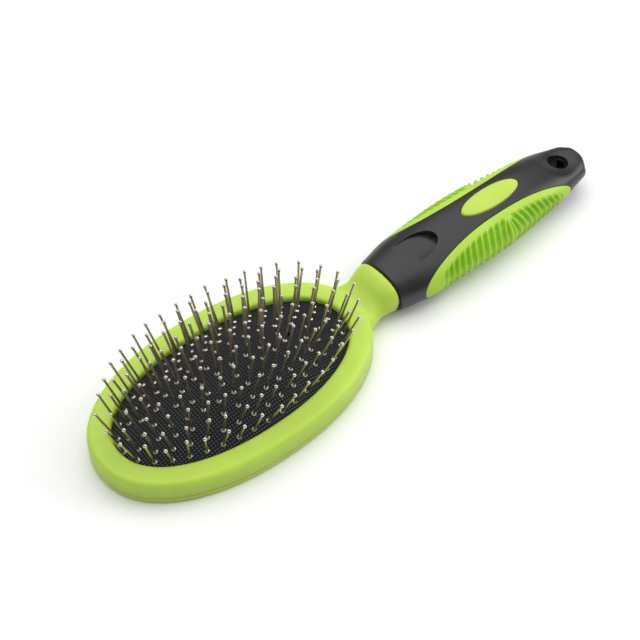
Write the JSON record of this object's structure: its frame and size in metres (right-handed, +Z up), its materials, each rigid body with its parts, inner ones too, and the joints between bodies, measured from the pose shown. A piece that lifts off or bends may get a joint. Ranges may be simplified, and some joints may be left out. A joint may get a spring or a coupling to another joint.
{
  "type": "pin brush",
  "caption": "Oval cushioned pin brush for grooming pets, with ball-tipped wire pins and a soft sleeved handle with ribbed side grips and a hang hole.",
  "frame": {"origin": "middle of the footprint, on the surface that the brush lies on with its pins up", "axes": "+X from the tip of the head to the tail of the handle, +Y across, +Z up along the pins"},
  "size_m": [0.218, 0.0646, 0.0348],
  "materials": {
    "green_plastic": "satin",
    "woven_rubber": "matte rubber with a woven facing",
    "steel_wire": "plated wire",
    "core_plastic": "matte",
    "soft_sleeve": "satin soft touch",
    "soft_grip": "satin soft touch"
  },
  "bodies": {
    "brush": {"back_shell": "green_plastic", "front_frame": "green_plastic", "cushion_pad": "woven_rubber", "handle_core": "core_plastic", "handle_sleeve": "soft_sleeve", "grip_panel_left": "soft_grip", "grip_panel_right": "soft_grip", "oval_inlay_top": "green_plastic", "oval_inlay_bottom": "green_plastic"},
    "centre_pins": {"pin_row_centre": "steel_wire"},
    "inner_pins": {"pin_ring_inner": "steel_wire"},
    "fourth_pins": {"pin_ring_fourth": "steel_wire"},
    "third_pins": {"pin_ring_third": "steel_wire"},
    "second_pins": {"pin_ring_second": "steel_wire"},
    "outer_pins": {"pin_ring_outer": "steel_wire"}
  },
  "joints": [
    {"name": "cushion_press", "type": "slide", "parent": "brush", "child": "centre_pins", "axis": [0, 0, 1], "range_m": [-0.004, 0], "stiffness_N_per_m": 900, "deforming": ["cushion_pad"]},
    {"name": "inner_pins_follow", "type": "slide", "parent": "brush", "child": "inner_pins", "axis": [0, 0, 1], "range_m": [-0.0037, 0], "stiffness_N_per_m": 900},
    {"name": "fourth_pins_follow", "type": "slide", "parent": "brush", "child": "fourth_pins", "axis": [0, 0, 1], "range_m": [-0.0029, 0], "stiffness_N_per_m": 900},
    {"name": "third_pins_follow", "type": "slide", "parent": "brush", "child": "third_pins", "axis": [0, 0, 1], "range_m": [-0.0022, 0], "stiffness_N_per_m": 900},
    {"name": "second_pins_follow", "type": "slide", "parent": "brush", "child": "second_pins", "axis": [0, 0, 1], "range_m": [-0.0014, 0], "stiffness_N_per_m": 900},
    {"name": "outer_pins_follow", "type": "slide", "parent": "brush", "child": "outer_pins", "axis": [0, 0, 1], "range_m": [-0.0006, 0], "stiffness_N_per_m": 900}
  ],
  "couplings": [
    {"joint": "inner_pins_follow", "follows": "cushion_press", "ratio": 0.899},
    {"joint": "fourth_pins_follow", "follows": "cushion_press", "ratio": 0.712},
    {"joint": "third_pins_follow", "follows": "cushion_press", "ratio": 0.526},
    {"joint": "second_pins_follow", "follows": "cushion_press", "ratio": 0.328},
    {"joint": "outer_pins_follow", "follows": "cushion_press", "ratio": 0.146}
  ]
}
